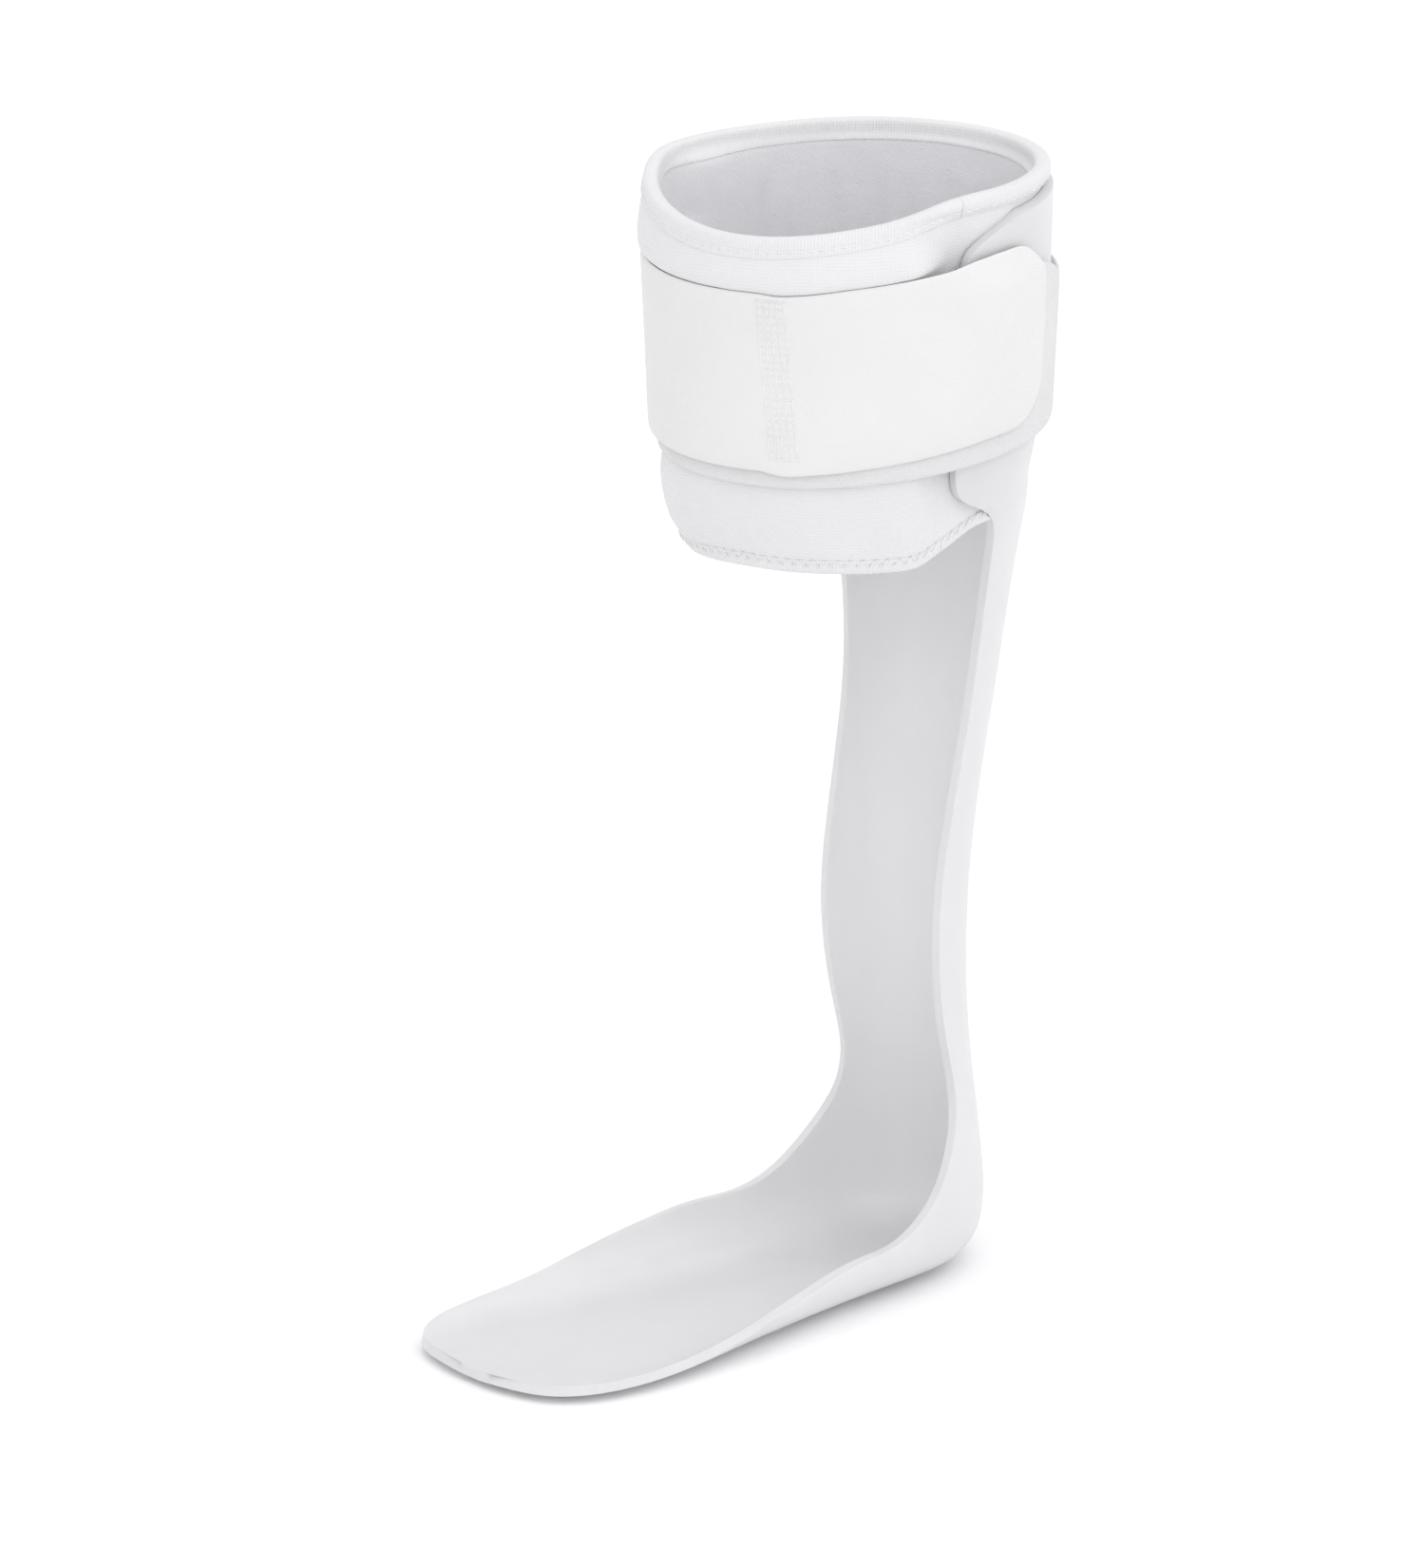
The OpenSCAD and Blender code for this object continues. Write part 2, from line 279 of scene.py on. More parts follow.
def cloth_material(name, colour, weave, pitch, depth, sheen=0.25, fuzz=0.0, rough=0.85, mottle=0.03):
    """A textile: `weave` is plain, knit, rib or pile, and `pitch` is its repeat along and across."""
    n = Nodes(name)
    u, v = n.uv()
    x = n.math("MULTIPLY", u, 2 * math.pi / pitch[0])
    y = n.math("MULTIPLY", v, 2 * math.pi / pitch[1])
    if weave == "plain":
        height = n.math("MULTIPLY", n.math("SINE", x), n.math("SINE", y))
    elif weave == "knit":
        half = n.math("MULTIPLY", x, 0.5)
        bend = n.math("MULTIPLY", n.math("ABSOLUTE", n.math("SINE", half)), 2.2)
        loops = n.math("SINE", n.math("ADD", y, bend))
        height = n.math("MULTIPLY", loops, n.math("ABSOLUTE", n.math("COSINE", half)))
    elif weave == "rib":
        ribs = n.math("MULTIPLY", n.math("SINE", x), 0.75)
        height = n.math("ADD", ribs, n.math("MULTIPLY", n.math("SINE", y), 0.25))
    else:
        height = n.math("MULTIPLY", n.noise(1.0 / pitch[0], 4, 0.7), 2.0)
    hair = n.noise(2600, 3, 0.65)
    slub = n.noise(260, 2, 0.5)
    height = n.math("ADD", height, n.math("MULTIPLY", hair, fuzz * 2 + 0.35))
    height = n.math("ADD", height, n.math("MULTIPLY", slub, 0.2))
    patch = n.noise(38, 4, 0.6)
    tone = n.ramp(patch, [(0.3, shade(colour, 1 - mottle)), (0.7, shade(colour, 1 + mottle * 0.4))])
    painted_cavity_shade = n.spread(height, 0.93, 1.0, start=(-1.0, 1.4))  # painted shade: a little darker in the hollows between the threads
    cavity_shade_tint = n.node("ShaderNodeCombineColor", {0: painted_cavity_shade, 1: painted_cavity_shade, 2: painted_cavity_shade}).outputs[0]
    # The tone is multiplied by the painted shade of the weave's hollows.
    colour_out = n.mix(1.0, tone, cavity_shade_tint, "MULTIPLY")
    normal = n.bump(height, 1.0, depth)
    rough_out = n.spread(slub, rough - 0.06, min(1.0, rough + 0.08))
    return n.set(Base_Color=colour_out, Roughness=rough_out, Normal=normal, Sheen_Weight=sheen,
                 Sheen_Roughness=0.45, Specular_IOR_Level=0.25)


def shell_material():
    """Milky moulded plastic, with faint streaks along the draw and a soft orange peel."""
    n = Nodes("shell_plastic")
    haze = n.noise(22, 4, 0.6)
    flow = n.node("ShaderNodeMapping", {"Vector": n.coords(), "Scale": (60, 60, 9)}).outputs[0]
    streak = n.noise(1.0, 3, 0.55, flow)
    tone = n.ramp(haze, [(0.3, (0.83, 0.83, 0.845)), (0.7, (0.865, 0.865, 0.88))])
    tone = n.mix(0.25, tone, n.ramp(streak, [(0.35, (0.80, 0.80, 0.82)), (0.65, (0.89, 0.89, 0.90))]))
    peel = n.noise(420, 2, 0.5)
    scuff = n.noise(1500, 4, 0.7)
    height = n.math("ADD", n.math("MULTIPLY", peel, 0.6), n.math("MULTIPLY", scuff, 0.12))
    gloss = n.spread(streak, 0.27, 0.42)
    return n.set(Base_Color=tone, Roughness=gloss, Normal=n.bump(height, 0.35, 0.00012), IOR=1.49,
                 Transmission_Weight=0.3, Coat_Weight=0.1, Coat_Roughness=0.2)


def metal_material():
    n = Nodes("rivet_metal")
    grain = n.noise(900, 3, 0.6)
    rough = n.spread(grain, 0.22, 0.42)
    tone = n.ramp(n.noise(300, 2, 0.5), [(0.3, (0.60, 0.60, 0.62)), (0.7, (0.78, 0.78, 0.79))])
    return n.set(Base_Color=tone, Roughness=rough, Metallic=1.0, Normal=n.bump(grain, 0.2, 0.00005))


M_SHELL = shell_material()
M_METAL = metal_material()
M_COVER = cloth_material(
    "pad_cloth", (0.735, 0.735, 0.75), "knit", (0.0011, 0.0009), 0.00005, sheen=0.3, fuzz=0.3)
M_LINING = cloth_material(
    "pad_lining", (0.74, 0.735, 0.76), "pile", (0.0012, 0.0012), 0.00016, sheen=0.45, fuzz=0.8, rough=0.95)
M_BINDING = cloth_material(
    "binding_tape", (0.755, 0.755, 0.767), "rib", (0.0009, 0.0008), 0.00009, sheen=0.25, fuzz=0.2)
M_PILE = cloth_material(
    "pile_tape", (0.73, 0.73, 0.74), "pile", (0.0009, 0.0009), 0.00014, sheen=0.5, fuzz=0.9, rough=0.95)
M_WEB = cloth_material(
    "strap_webbing", (0.735, 0.735, 0.737), "plain", (0.0012, 0.0010), 0.000018,
    sheen=0.2, fuzz=0.15, rough=0.8, mottle=0.02)
M_HOOK = cloth_material(
    "hook_tape", (0.78, 0.78, 0.80), "plain", (0.0016, 0.0012), 0.0003, sheen=0.1, fuzz=0.1, rough=0.6)
M_THREAD = cloth_material(
    "thread", (0.82, 0.82, 0.83), "rib", (0.0004, 0.0004), 0.00005, sheen=0.3, fuzz=0.1, rough=0.6)

# ---- Plastic shell ----------------------------------------------------------------------------
# Stations from the toes to the rim, as in the CAD: y, z, turn, half width outside and inside, depth
# outside and inside, wrap, squareness.


def calf_station(z, turn, wrap):
    r = BAND_R + np.interp(z, *FLARE)
    half = OVAL[0] * r * math.sin(math.radians(wrap))
    depth = OVAL[1] * r * (1 - math.cos(math.radians(wrap)))
    return [AXIS_Y + OVAL[1] * r, z, turn, half, half, depth, depth, wrap, 1]


STATIONS = np.array([
    [-128, 1.6, 90, 5, 8, 0.3, 0.3, 60, 0.8],
    [-126, 1.4, 90, 17, 22, 0.6, 0.6, 60, 0.8],
    [-121, 1.0, 90, 26, 31, 1.0, 1.2, 60, 0.8],
    [-110, 0.5, 90, 33, 37, 1.8, 2.5, 60, 0.75],
    [-92, 0, 90, 36, 38, 2.8, 5.0, 60, 0.5],
    [-70, 0, 86, 36, 36, 5.0, 9.5, 62, 0.46],
    [-48, 0, 74, 36, 35, 10.7, 14, 66, 0.46],
    [-26, 0, 57, 34.5, 33.5, 16.5, 19, 68, 0.48],
    [-5, 0, 42, 33.5, 33, 24, 26, 70, 0.52],
    [14, 0, 32, 33, 32, 32, 33, 74, 0.58],
    [30, 0.2, 27, 32, 32, 38.5, 38.5, 78, 0.66],
    [41, 3.6, 24, 31, 31, 41, 41, 82, 0.76],
    [46.6, 10, 22, 30, 30, 39, 39, 84, 0.87],
    [48.6, 19, 20, 28.5, 28.5, 34, 34, 84, 0.95],
    [48.2, 31, 14, 26.3, 26.3, 27.5, 27.5, 82, 1],
    [46.8, 43, 4, 24.5, 24.5, 22, 22, 78, 1],
    [45.4, 55, 0, 23, 23, 20, 20, 76, 1],
    [44.0, 68, 0, 23, 23, 22, 22, 80, 1],
    [43.0, 84, 0, 23.5, 23.5, 24, 24, 82, 1],
    [43.0, 101, 0, 24, 24, 25, 25, 84, 1],
    [44.2, 119, 0, 24, 24, 24.5, 24.5, 84, 1],
    [47.4, 141, 0, 24.5, 24.5, 23.5, 23.5, 82, 1],
    [52.0, 164, 0, 25.5, 25.5, 24, 24, 80, 1],
    [55.5, 187, 0, 28, 28, 26, 26, 78, 1],
    [58.2, 206, 0, 31.5, 31.5, 29, 29, 78, 1],
    [59.3, 218, 0, 36, 36, 33, 33, 80, 1],
    calf_station(226, 0, 85),
    calf_station(230.5, 0, WRAP - 1),
    calf_station(244, -1, WRAP),
    calf_station(262, -2, WRAP),
    calf_station(282, -3, WRAP),
    calf_station(298, -3, WRAP),
    calf_station(302.5, -3, WRAP - 4),
    calf_station(306, -3, WRAP - 14),
    calf_station(307.5, -3, WRAP - 23),
], float)


def station_rows(sub):
    """The stations joined by a smooth curve, with `sub` rows to each gap."""
    ends_doubled = np.vstack([STATIONS[:1], STATIONS, STATIONS[-1:]])
    rows = []
    for k in range(len(STATIONS) - 1):
        a, b, c, d = ends_doubled[k : k + 4]
        second, third = 2 * a - 5 * b + 4 * c - d, 3 * b - a - 3 * c + d
        for t in np.arange(sub) / sub:
            rows.append(0.5 * (2 * b + (c - a) * t + second * t * t + third * t ** 3))
    rows.append(STATIONS[-1])
    rows = np.array(rows)
    for _ in range(sub * 2):  # evens out the table's small steps; the ends stay
        rows[1:-1] = rows[1:-1] * 0.5 + (rows[:-2] + rows[2:]) * 0.25
    return rows


def shell_grid(sub, half_cols, inset=0.0):
    """The shell's outer face, or the face at an inset behind it."""
    share = np.linspace(-1, 1, 2 * half_cols + 1)
    outside = share >= 0
    grid = []
    for y, low, turn, half_out, half_in, depth_out, depth_in, wrap, square in station_rows(sub):
        tau = np.radians(wrap) * share
        sine, cosine = np.sin(tau), np.cos(tau)
        end_sine, end_cosine = math.sin(math.radians(wrap)), math.cos(math.radians(wrap))
        full_depth = 1 - math.copysign(abs(end_cosine) ** square, end_cosine)
        w = np.where(outside, half_out, half_in) / end_sine ** square
        h = np.where(outside, depth_out, depth_in) / full_depth
        depth = h * (1 - np.sign(cosine) * np.abs(cosine) ** square)
        tip = math.radians(turn)
        x = w * (np.sign(sine) * np.abs(sine) ** square)
        z = np.maximum(0, low + depth * math.sin(tip))  # the sole is flat on the floor
        grid.append(np.stack([x, y - depth * math.cos(tip), z], -1))
    g = np.array(grid)
    if inset:
        up, across = np.gradient(g, axis=0), np.gradient(g, axis=1)
        normal = np.cross(up, across)
        normal /= np.linalg.norm(normal, axis=2, keepdims=True)
        g = g - normal * inset
    return g


ROWS_EACH, HALF_COLUMNS = 6, 22
outer = shell_grid(ROWS_EACH, HALF_COLUMNS)
inner = shell_grid(ROWS_EACH, HALF_COLUMNS, WALL)
section = np.concatenate([outer, inner[:, ::-1]], axis=1)
shell = grid_object("shell", section, M_SHELL, closed_v=True, caps=True)
recalc(shell)
modify(shell, "BEVEL", width=1.22 * MM, segments=4, limit_method="ANGLE", angle_limit=math.radians(48),
       harden_normals=False)
bake(shell)
shell.data.polygons.foreach_set("use_smooth", [True] * len(shell.data.polygons))
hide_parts("foot_shell", "leaf_spring", "calf_shell")
inner_tree = BVHTree.FromPolygons([tuple(p) for p in inner.reshape(-1, 3)], grid_faces(*inner.shape[:2]))
FAR = 200.0


def room_inside_shell(phi, z):
    """The radius at which the shell's inner face lies, or FAR where there is none."""
    a = math.radians(phi)
    direction = Vector((OVAL[0] * math.cos(a), OVAL[1] * math.sin(a), 0))
    stretch = direction.length
    hit = inner_tree.ray_cast(Vector((0, AXIS_Y, z)), direction.normalized(), FAR)
    return hit[3] / stretch if hit[0] else FAR


# ---- Padded wrap ------------------------------------------------------------------------------

# The back pad's faces by share of its height, from the pile band's inner face.
HEIGHTS = np.array([0, 0.03, 0.08, 0.16, 0.3, 0.5, 0.7, 0.8, 0.86, 0.92, 0.97, 1])
BACK_OUT = [-7.9, -7.5, -7.1, -6.2, -5.1, -4.6, -4.7, -4.9, -4.9, -4.4, -4.4, -4.8]
BACK_IN = [-10.4, -10.8, -10.6, -9.8, -9, -8.6, -8.6, -8.6, -8.4, -7.8, -7.2, -6.9]
# The front pad: its lower edge by millimetres up, the roll over the strap by share of the height above
# the strap, and the bulge under the strap on the inner side.
EDGE_MM = [0, 3, 8, 16, 28]
EDGE_OUT = [-4.4, -3.8, -3, -1.4, -0.2]
EDGE_THICK = [2.6, 3.9, 5.2, 6.2, 6.4]
ROLL_AT = [-0.4, -0.2, -0.02, 0.035, 0.12, 0.28, 0.45, 0.65, 0.85, 1]
ROLL_OUT = [0, 0.8, 3.0, 4.35, 4.8, 4.75, 4.3, 3.6, 2.8, 2.2]
ROLL_THIN = [0, 0, 0, 0, 0, 0.3, 0.8, 1.5, 2.4, 3.6]
BULGE_MM = [0, 3, 8, 16, 22, 30]
BULGE_OUT = [-0.5, 0.9, 3.1, 2.9, 2.1, 0]


def from_back(phi):
    """Degrees from the middle of the back, for angles from -90 to 450."""
    return np.where(phi > 270, np.abs(phi - 450), np.abs(phi - 90))


def pad_top(phi):
    """The rim's height, which dips at the shin."""
    d = np.minimum(75, np.abs((phi - 284 + 180) % 360 - 180))
    return RIM_Z - RIM_DIP * np.cos(np.radians(1.2 * d)) ** 1.5


def pad_bottom(phi):
    """The lower edge's height: it rises at the back, and sags a little on the inner side of the shin."""
    sag = 2.4 * smooth((285 - phi) / 50) * smooth((phi - 190) / 25)
    return PAD_LOW + 7.6 * smooth((110 - from_back(phi)) / 32) - sag


def strap_z(phi, side):
    """The height of the plain strap's upper (1) or lower (-1) edge."""
    return STRAP_MID + side * STRAP_W / 2 + STRAP_SLOPE * reach(phi)


def wrapped(phi):
    """The same angle, from -180 up to 180."""
    return (phi + 180) % 360 - 180


def strap_edge(phi, side):
    """The pulled strap's edge: narrower on the shin, and the tab climbs towards its end."""
    w = wrapped(phi)
    shin = -0.6 * (1 + side) * smooth((phi - 205) / 25) * (phi > 200)
    climb = np.minimum(2.8, 0.065 * (w + 41)) - 0.25 * (1 + side) * smooth((-40 - w) / 15)
    return strap_z(phi, side) + shin + (climb - shin) * smooth((w + 68) / 9) * (w < 90)


def pile_edge(phi, side):
    """The pile band's edge: its upper edge drops behind the tab, and its lower edge rises a little."""
    w = wrapped(phi)
    if side > 0:
        move = -8.3 * smooth((w - 24) / 26) * (1 - smooth((w - 100) / 45))
    else:
        move = 0.016 * np.clip(w + 50, 0, 95) * (1 - smooth((w - 110) / 60))
    return strap_z(phi, side) - PILE_DROP + move


def pad_radii(phi, s, z):
    """Outer and inner radius offsets from the pile band's inner face."""
    up = z - pad_bottom(phi)
    u = (z - strap_edge(phi, 1)) / (pad_top(phi) - strap_edge(phi, 1))
    bulge = smooth((phi - 196) / 20) * (1 - smooth((phi - 238) / 42))
    front_out = np.interp(up, EDGE_MM, EDGE_OUT) + np.interp(u, ROLL_AT, ROLL_OUT)
    front_out = front_out + bulge * np.interp(up, BULGE_MM, BULGE_OUT)
    front_in = front_out - np.interp(up, EDGE_MM, EDGE_THICK) + np.interp(u, ROLL_AT, ROLL_THIN)
    tuck = 326 + 9 * (1 - smooth(u / 0.6))
    front = smooth((phi - 192) / 24) * (1 - smooth((phi - tuck) / (352 - tuck)))
    roll = 4 * smooth((phi - 165) / 41) * (1 - smooth((phi - 216) / 30)) * smooth((z - 307.4) / 4)
    roll = roll + 1.3 * smooth((z - 308.2) / 2.2)
    back_out = np.interp(s, HEIGHTS, BACK_OUT) + roll + 0.9 * smooth((s - 0.45) / 0.3)
    back_in = np.interp(s, HEIGHTS, BACK_IN) + roll * 0.9
    return back_out + (front_out - back_out) * front, back_in + (front_in - back_in) * front


EVEN_ROWS = np.concatenate([
    np.linspace(0, 0.1, 5)[:-1], np.linspace(0.1, 0.8, 15)[:-1], np.linspace(0.8, 1, 12),
])


def strap_rows(phi):
    """Heights, as shares, with rows set close together where the strap's upper edge presses in."""
    edge = (strap_edge(phi, 1) - pad_bottom(phi)) / (pad_top(phi) - pad_bottom(phi))
    near = edge + np.array([-0.03, -0.014, -0.003, 0.006, 0.02, 0.045])
    low, middle = np.linspace(0, 0.1, 5)[:-1], np.linspace(0.1, near[0], 16)[:-1]
    return np.concatenate([low, middle, near, np.linspace(near[-1], 1, 9)[1:]])


def build_pad(phis, rows):
    """Grid of (radius, height) for the outer face up and the inner face down, at each angle."""
    grid = np.zeros((len(phis), 2 * rows.shape[1], 2))
    for i, phi in enumerate(phis):
        s = rows[i]
        z = pad_bottom(phi) + s * (pad_top(phi) - pad_bottom(phi))
        out, inn = pad_radii(phi, s, z)
        grid[i, : len(s)] = np.stack([pile_in(z) + out, z], -1)
        grid[i, len(s) :] = np.stack([pile_in(z) + inn, z], -1)[::-1]
    return grid


SHELL_GAP = 0.3
TOUCH_GAP = 0.15
THIN_AT_CAP = 2.2
THINNEST = 1.8


def limit_pad(phis, grid):
    """Keeps the pad inside the shell, under the pile band and under the strap."""
    n = grid.shape[1] // 2
    for i, phi in enumerate(phis):
        pile_top, pile_low = strap_z(phi, 1) - PILE_DROP, pile_edge(phi, -1)
        for j in range(2 * n):
            r, z = grid[i, j]
            cap = FAR
            if from_back(phi) < 112:
                cap = min(cap, room_inside_shell(phi, z) - SHELL_GAP)
            if pile_low - 0.6 < z < pile_top + 0.6:
                cap = min(cap, pile_in(z) - TOUCH_GAP)
            elif z < pile_low:
                cap = min(cap, pile_in(z) + 0.3 + 0.6 * (pile_low - z))  # opens out below the band
            elif z < strap_edge(phi, 1) + 0.2:
                cap = min(cap, pile_in(z) + TOP_IN - TOUCH_GAP)
            if j >= n:
                cap = min(cap - THIN_AT_CAP, grid[i, 2 * n - 1 - j, 0] - THINNEST)
            grid[i, j, 0] = min(r, cap)
    return grid


BACK_STEPS, FOLD_STEPS, FRONT_STEPS = 99, 10, 67
HINGE_A, HINGE_B = BACK_STEPS, BACK_STEPS + FOLD_STEPS
phis = np.concatenate([
    np.linspace(BACK_FROM, HINGE_FROM, BACK_STEPS + 1)[:-1],
    np.linspace(HINGE_FROM, HINGE_TO, FOLD_STEPS + 1)[:-1],
    np.linspace(HINGE_TO, FRONT_TO, FRONT_STEPS + 1),
])
even_rows = np.tile(EVEN_ROWS, (len(phis), 1))
rows = np.array([strap_rows(phi) for phi in phis])
pad = limit_pad(phis, build_pad(phis, rows))
N_SIDE = rows.shape[1]


def pad_points(grid):
    return at(phis[:, None], grid[..., 0], grid[..., 1])


CLOTH_FRAMES = 20
SWELL_MAX = 3.0


def inflate(grid):
    """Lets the foam push the cloth out with a cloth simulation, with the bound edges held.

    Returns how far each point of the even grid moved outwards."""
    obj = grid_object("pad_sim", pad_points(grid), M_COVER, closed_v=True, caps=True)
    recalc(obj)
    group = obj.vertex_groups.new(name="held")
    n = grid.shape[1]
    for i in range(len(phis)):
        for j in range(n):
            s = EVEN_ROWS[min(j, n - 1 - j)]
            edge = min(s, 1 - s)
            held = edge < 0.055 or i in (0, len(phis) - 1)
            group.add([i * n + j], float(held), "REPLACE")
    c = obj.modifiers.new("Cloth", "CLOTH").settings
    c.quality = 6
    c.mass = 0.25
    c.tension_stiffness = 12
    c.compression_stiffness = 8
    c.shear_stiffness = 4
    c.bending_stiffness = 0.6
    c.use_pressure = True
    c.uniform_pressure_force = 4
    c.vertex_group_mass = "held"
    c.effector_weights.gravity = 0
    scene = bpy.context.scene
    for step in range(CLOTH_FRAMES):
        scene.frame_set(step + 1)
    swollen = obj.evaluated_get(bpy.context.evaluated_depsgraph_get()).to_mesh()
    co = np.zeros(len(swollen.vertices) * 3)
    swollen.vertices.foreach_get("co", co)
    co = co.reshape(len(phis), n, 3) * PER_M
    scene.frame_set(1)
    start = pad_points(grid)
    move = co - start
    far = np.linalg.norm(move, axis=2, keepdims=True)
    co = start + move * np.minimum(1, SWELL_MAX / np.maximum(far, 1e-6))
    mesh = obj.data
    bpy.data.objects.remove(obj)
    bpy.data.meshes.remove(mesh)
    return np.hypot(co[..., 0] / OVAL[0], (co[..., 1] - AXIS_Y) / OVAL[1]) - grid[..., 0]


swell = inflate(limit_pad(phis, build_pad(phis, even_rows)))
half_way = swell.shape[1] // 2
for i in range(len(phis)):
    pad[i, :N_SIDE, 0] += np.interp(rows[i], EVEN_ROWS, swell[i, :half_way])
    pad[i, N_SIDE:, 0] += np.interp(rows[i], EVEN_ROWS, swell[i, half_way:][::-1])[::-1]
pad = limit_pad(phis, pad)

# Small creases and soft unevenness of laminated foam, fading out at the bound edges.
for i in range(len(phis)):
    for j in range(2 * N_SIDE):
        s = rows[i, min(j, 2 * N_SIDE - 1 - j)]
        free = smooth(min(s, 1 - s) / 0.07)
        p = at(phis[i], pad[i, j, 0], pad[i, j, 1])
        pad[i, j, 0] += free * (0.45 * ripple(p, 0.045, 3) + 0.22 * ripple(p, 0.16, 9))
pad = limit_pad(phis, pad)
points = pad_points(pad)


END_NEAR = 0.4


def close_end(obj, phi_end):
    """Fills a piece's open end, at an angle, with a flat face that has a sharp rim."""
    bm = bmesh.new()
    bm.from_mesh(obj.data)

    def at_end(v):
        phi = math.degrees(math.atan2((v.co.y * PER_M - AXIS_Y) / OVAL[1], v.co.x * PER_M / OVAL[0]))
        return abs(wrapped(phi - phi_end)) < END_NEAR

    rim = [e for e in bm.edges if e.is_boundary and at_end(e.verts[0]) and at_end(e.verts[1])]
    filled = bmesh.ops.holes_fill(bm, edges=rim, sides=0)["faces"]
    for e in rim:
        e.smooth = False
    for f in bmesh.ops.triangulate(bm, faces=filled)["faces"]:
        f.smooth = False
    bmesh.ops.recalc_face_normals(bm, faces=bm.faces)
    bm.to_mesh(obj.data)
    bm.free()


def close_ends(obj, first, last):
    if first == 0:
        close_end(obj, BACK_FROM)
    if last == len(phis) - 1:
        close_end(obj, FRONT_TO)


def split_pad(name, first, last):
    """One stretch of the wrap, with its cover outside and its lining inside."""
    obj = grid_object(name, points[first : last + 1], [M_COVER, M_LINING], closed_v=True)
    n = 2 * N_SIDE
    for p in obj.data.polygons:
        p.material_index = int(sum(v % n >= N_SIDE for v in p.vertices) > 2)
    soften(obj)
    close_ends(obj, first, last)
    return obj


pad_back = split_pad("pad_back", 0, HINGE_A)
pad_fold = split_pad("pad_fold", HINGE_A, HINGE_B)
pad_front = split_pad("pad_front", HINGE_B, len(phis) - 1)

# ---- Folded bindings and their stitches ---------------------------------------------------------


def edge_line(i, end, depth, side, lift):
    """Radius and height on the pad's face at a depth from its top (1) or bottom (0) edge."""
    face = pad[i, :N_SIDE] if side == "out" else pad[i, N_SIDE:][::-1]
    edge = face[-1, 1] if end else face[0, 1]
    z = edge - depth if end else edge + depth
    r = np.interp(z, face[:, 1], face[:, 0])
    return r + (lift if side == "out" else -lift), z


TOP_FOLD, LOW_FOLD = 4.6, 3.1


def binding_section(i, end):
    """The tape's section round one edge: up the outer face, over the edge and down the inner face."""
    depth = TOP_FOLD if end else LOW_FOLD
    tuck = (0.1 * math.sin(i * 2.1) + 0.07 * math.sin(i * 0.83 + 1)) * (1 if end else 0.5)
    lifts = [
        (1.06, -0.35), (1.0, 0.2), (0.88, 0.4 + tuck * 0.4), (0.72, 0.48 + tuck),
        (0.6, 0.36), (0.45, 0.5 + tuck), (0.25, 0.6), (0.1, 0.62),
    ]
    section = [edge_line(i, end, d * depth, "out", lift) for d, lift in lifts]
    r_out, z = edge_line(i, end, 0, "out", 0)
    r_in, _ = edge_line(i, end, 0, "in", 0)
    sign = 1 if end else -1
    mid, half = (r_out + r_in) / 2, (r_out - r_in) / 2 + 0.55
    for a in (0.12, 0.3, 0.5, 0.7, 0.88):
        section.append((mid + half * math.cos(a * math.pi), z + sign * (0.1 + 0.9 * math.sin(a * math.pi))))
    section += [edge_line(i, end, d * depth, "in", lift) for d, lift in reversed(lifts)]
    return section


def binding(name, end, first, last):
    """The folded tape along one stretch's top (1) or bottom (0) edge."""
    angles = phis.copy()
    angles[[0, -1]] += (0.065, -0.065)  # the cut ends lie just behind the pad's own
    grid = [[at(angles[i], *rz) for rz in binding_section(i, end)] for i in range(first, last + 1)]
    obj = grid_object(name, grid, M_BINDING, closed_v=True)
    soften(obj)
    close_ends(obj, first, last)
    return obj


def between(d, dist, values):
    """The values at a distance along a line, one column at a time."""
    return np.array([np.interp(d, dist, values[:, k]) for k in range(3)])


class Thread:
    """Gathers raised stitches along lines of points into one object."""

    def __init__(self):
        self.points, self.faces = [], []

    def run(self, line, normals, pitch, length, radius, sway=0.0, across=None, lift=0.0):
        """Stitches of a length at every pitch; with a sway they lean to each side in turn."""
        line, normals = np.asarray(line, float), np.asarray(normals, float)
        dist = np.concatenate([[0], np.cumsum(np.linalg.norm(np.diff(line, axis=0), axis=1))])
        side = 1
        for start in np.arange(pitch * 0.4, dist[-1] - length * 0.9, pitch):
            side = -side
            centre = []
            for t in np.linspace(0, 1, 6):
                d = start + t * length
                p, up = between(d, dist, line), between(d, dist, normals)
                up /= np.linalg.norm(up)
                if sway:
                    p = p + between(d, dist, across) * sway * side * (2 * t - 1)
                arch = lift + radius * 1.2 * math.sin(math.pi * t) ** 0.5 - radius * 0.8
                centre.append((p + up * arch, up))
            self.tube(centre, radius)

    def tube(self, centre, radius, sides=6):
        """A tube with thin ends through a list of points, each with its upward direction."""
        base, last = len(self.points), len(centre) - 1
        for k, (p, up) in enumerate(centre):
            along = centre[min(last, k + 1)][0] - centre[max(0, k - 1)][0]
            cross = np.cross(along / np.linalg.norm(along), up)
            cross /= np.linalg.norm(cross)
            r = radius * (0.55 if k in (0, last) else 1.0)
            for m in range(sides):
                a = m * 2 * math.pi / sides
                self.points.append(p + (cross * math.cos(a) + up * math.sin(a)) * r)
        for k in range(last):
            for m in range(sides):
                a, b = base + k * sides + m, base + k * sides + (m + 1) % sides
                self.faces.append((a, b, b + sides, a + sides))

    def build(self, name):
        obj = mesh_object(name, self.points, self.faces, M_THREAD, np.asarray(self.points)[:, [0, 2]] * MM)
        return obj


def radial(phi):
    """The direction straight out of the oval at an angle."""
    a = np.radians(phi)
    v = np.stack([np.cos(a) / OVAL[0], np.sin(a) / OVAL[1], np.zeros_like(a)], -1)
    return v / np.linalg.norm(v, axis=-1, keepdims=True)


